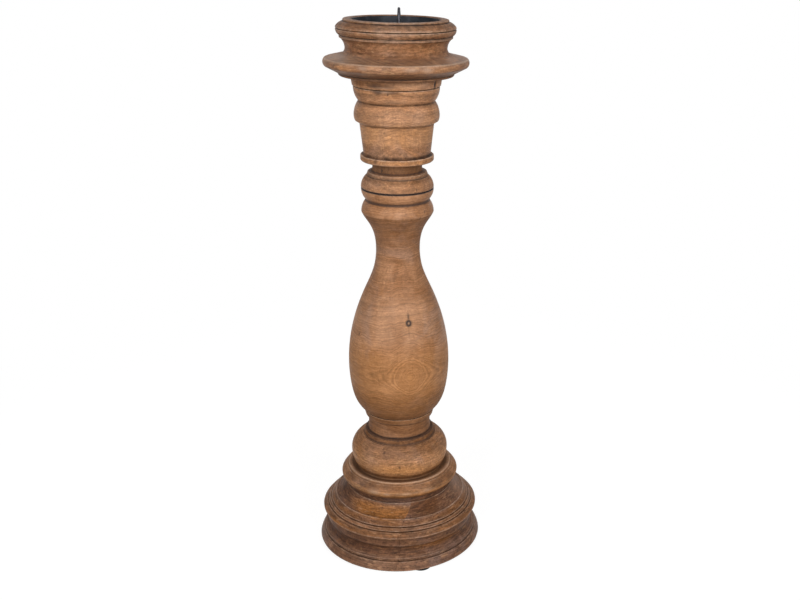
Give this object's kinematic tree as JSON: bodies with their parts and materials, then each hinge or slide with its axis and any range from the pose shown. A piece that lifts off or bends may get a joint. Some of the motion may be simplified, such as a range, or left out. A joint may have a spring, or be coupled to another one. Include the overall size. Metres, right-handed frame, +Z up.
{
  "type": "pricket candle stand",
  "caption": "Turned wooden pricket candle stand: stepped round base, vase baluster, capital and flanged cup with a black lift-out drip pan and a metal spike.",
  "frame": {"origin": "on the floor under the middle of the base, in the plane on which the glides rest", "axes": "+Z up along the turning axis, -Y towards the viewer of the picture, +X to the viewer's right"},
  "size_m": [0.1386, 0.1386, 0.45],
  "materials": {
    "base_wood": "turned and waxed, brown with a grey cast",
    "base_wood_dark": "turned and waxed, darker board of the base",
    "stem_wood": "turned and waxed, warm brown",
    "dowel_wood": "plain beech, unfinished",
    "pan_black": "satin black paint on pressed steel",
    "spike_steel": "dark steel",
    "glide_black": "black moulded",
    "nail_steel": "plain wire"
  },
  "bodies": {
    "stand": {"base_main_board": "base_wood", "base_side_board": "base_wood_dark", "pedestal": "stem_wood", "baluster": "stem_wood", "capital": "stem_wood", "candle_cup": "stem_wood", "foot_dowel": "dowel_wood", "stem_dowel": "dowel_wood", "capital_dowel": "dowel_wood", "cup_dowel": "dowel_wood", "glide_1": "glide_black", "glide_2": "glide_black", "glide_3": "glide_black", "glide_4": "glide_black", "glide_nails": "nail_steel"},
    "candle_pan": {"drip_pan": "pan_black", "pricket_spike": "spike_steel"}
  },
  "joints": [
    {"name": "pan_lift", "type": "slide", "parent": "stand", "child": "candle_pan", "axis": [0, 0, 1], "range_m": [0, 0.03]}
  ]
}
